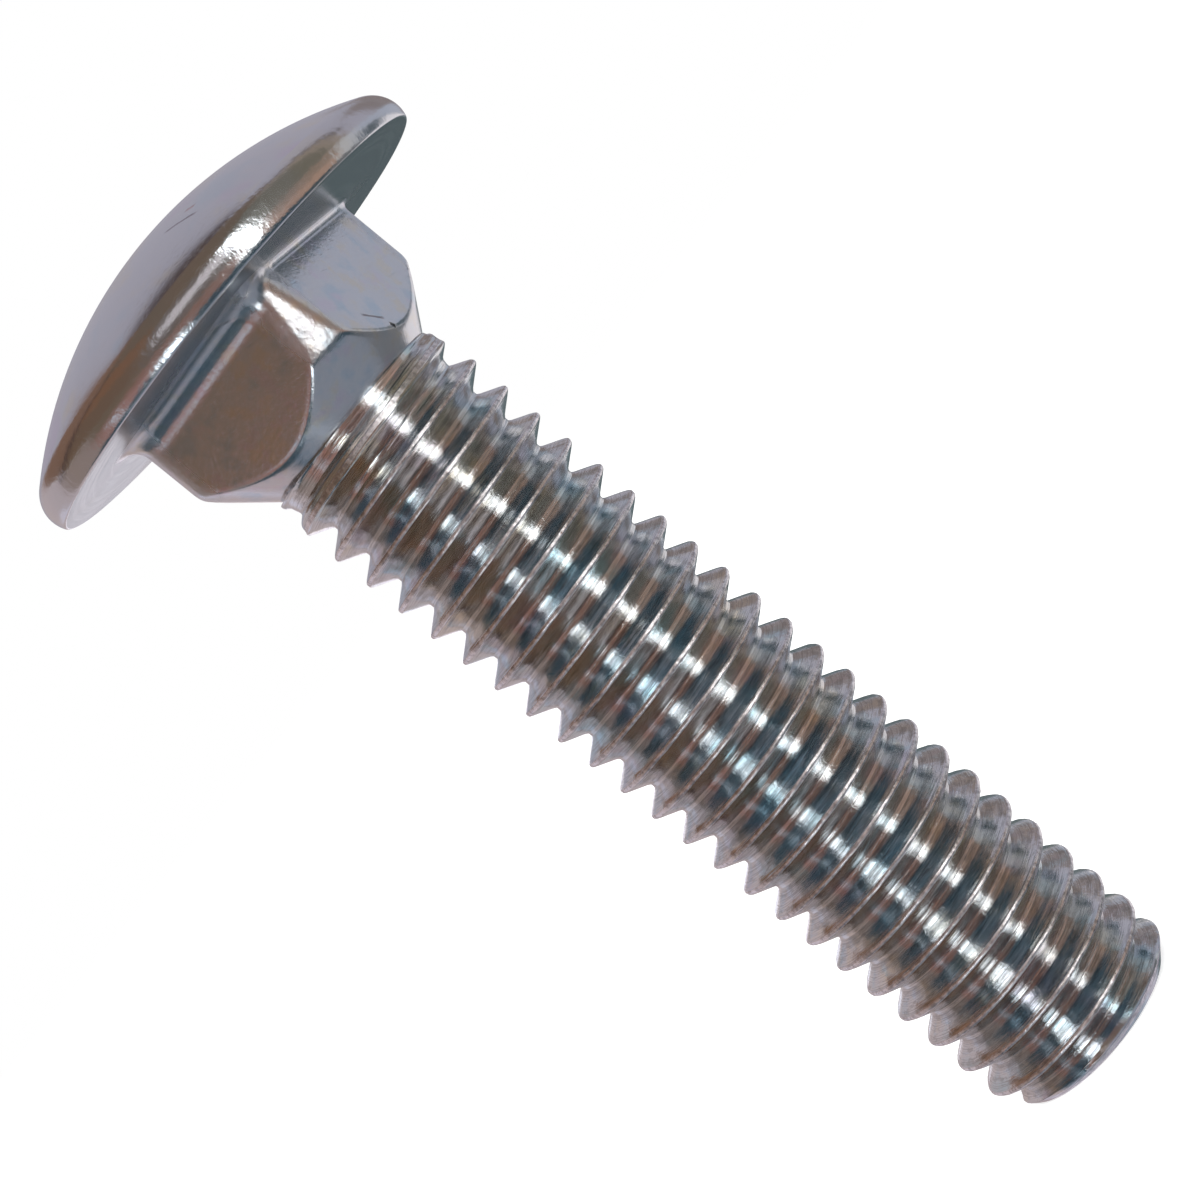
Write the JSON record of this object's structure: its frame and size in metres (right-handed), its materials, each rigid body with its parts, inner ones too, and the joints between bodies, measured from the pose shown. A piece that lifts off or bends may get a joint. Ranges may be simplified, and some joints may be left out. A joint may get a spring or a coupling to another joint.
{
  "type": "round-head square-neck bolt",
  "caption": "Bright zinc-plated bolt with a shallow domed head, a square neck that keeps it from turning, and a coarse right-hand thread along its whole shank to a chamfered end.",
  "frame": {"origin": "middle of the flat threaded end, on the bolt's axis: the bolt stands on this end", "axes": "+Z along the axis from the threaded end to the domed head, +X and +Y square to the flats of the neck"},
  "size_m": [0.0208, 0.0208, 0.048],
  "materials": {
    "zinc_plated_steel": "gloss"
  },
  "bodies": {
    "root": {"bolt": "zinc_plated_steel"}
  },
  "joints": []
}
